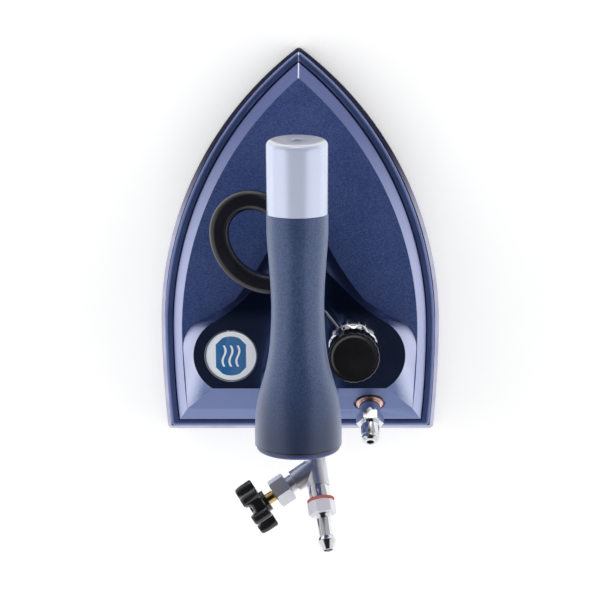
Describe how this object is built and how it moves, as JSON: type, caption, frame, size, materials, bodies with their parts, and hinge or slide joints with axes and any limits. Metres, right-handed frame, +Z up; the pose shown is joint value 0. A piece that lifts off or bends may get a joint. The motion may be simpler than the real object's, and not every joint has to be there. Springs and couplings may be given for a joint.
{
  "type": "industrial all-steam iron",
  "caption": "All-steam iron: boat-shaped sole with painted cover, cantilevered round handle, thumb lever lifting a steam valve, condensate nipple, steam inlet with needle valve and hose barb.",
  "frame": {"origin": "on the sole face, on the middle plane, half way between the tip and the rear edge of the sole", "axes": "+Y towards the pointed tip, +X to the user's right, +Z up from the sole face"},
  "size_m": [0.166, 0.2773, 0.1219],
  "materials": {
    "polished_sole": "polished",
    "gasket": "matt",
    "sheet_steel": "satin",
    "cast_aluminium": "as cast",
    "steel_screws": "satin",
    "insulation": "matt",
    "blue_paint": "gloss",
    "hammered_blue": "hammered",
    "badge_trim": "polished",
    "badge_enamel": "gloss",
    "blue_grip": "leather grain",
    "pale_cap": "satin",
    "blue_cap": "satin",
    "bronze_bush": "satin",
    "cast_brass": "satin",
    "chrome_fitting": "polished",
    "copper_washer": "satin",
    "red_fibre": "matt",
    "black_lever": "gloss",
    "bright_steel": "bright",
    "rubber_seal": "matt",
    "black_knob": "gloss",
    "brass_stem": "polished"
  },
  "bodies": {
    "root": {"sole_plate": "polished_sole", "chest_gasket": "gasket", "baffle_plate": "sheet_steel", "steam_chest": "cast_aluminium", "chest_screws": "steel_screws", "insulation_pad": "insulation", "base_skirt": "blue_paint", "top_cover": "hammered_blue", "saddle": "blue_paint", "saddle_screws": "steel_screws", "badge_ring": "badge_trim", "badge_disc": "badge_enamel", "grip": "blue_grip", "handle_column": "blue_paint", "column_screws": "steel_screws", "core_rod": "steel_screws", "end_cap": "pale_cap", "end_screw": "steel_screws", "rear_cap": "blue_cap", "rear_screw": "steel_screws", "lever_bracket": "blue_paint", "lever_bushes": "bronze_bush", "valve_body": "cast_brass", "valve_seat": "cast_brass", "bonnet_gasket": "gasket", "valve_bonnet": "chrome_fitting", "gland_packing": "gasket", "gland_nut": "chrome_fitting", "condensate_washer": "copper_washer", "condensate_nipple": "chrome_fitting", "inlet_body": "chrome_fitting", "inlet_sleeve": "chrome_fitting", "union_washer": "red_fibre", "union_nut": "chrome_fitting", "hose_barb": "chrome_fitting", "needle_body": "chrome_fitting"},
    "thumb_lever": {"thumb_loop": "black_lever", "lever_shaft": "steel_screws", "shaft_clip": "steel_screws", "crank_wire": "steel_screws"},
    "valve_plunger": {"valve_stem": "bright_steel", "plunger_seal": "rubber_seal", "lift_collar": "chrome_fitting", "return_spring": "bright_steel"},
    "regulator_knob": {"regulator_knob": "black_knob"},
    "needle_spindle": {"needle_stem": "brass_stem"},
    "needle_knob": {"needle_knob": "black_knob", "needle_screw": "steel_screws"}
  },
  "joints": [
    {"name": "lever_press", "type": "hinge", "parent": "root", "child": "thumb_lever", "pos_m": [0, -0.03002, 0.0593], "axis": [-1, 0, 0], "range_deg": [0, 12], "stiffness_Nm_per_rad": 0.1, "springref_deg": -28.65},
    {"name": "plunger_lift", "type": "slide", "parent": "root", "child": "valve_plunger", "axis": [0, 0, 1], "range_m": [0, 0.0021], "deforming": ["return_spring"]},
    {"name": "regulator_turn", "type": "hinge", "parent": "valve_plunger", "child": "regulator_knob", "pos_m": [0.031, -0.05308, 0.0633], "axis": [0, 0, 1], "range_deg": [0, 270]},
    {"name": "needle_travel", "type": "slide", "parent": "root", "child": "needle_spindle", "axis": [-0.8328, -0.5199, 0.19], "range_m": [0, 0.0021]},
    {"name": "needle_turn", "type": "hinge", "parent": "needle_spindle", "child": "needle_knob", "pos_m": [0.00937, -0.12161, 0.06105], "axis": [-0.8328, -0.5199, 0.19], "range_deg": [0, 1080]}
  ],
  "couplings": [
    {"joint": "plunger_lift", "follows": "lever_press", "m_per_rad": 0.01},
    {"joint": "needle_travel", "follows": "needle_turn", "m_per_rad": 0.00011141}
  ]
}
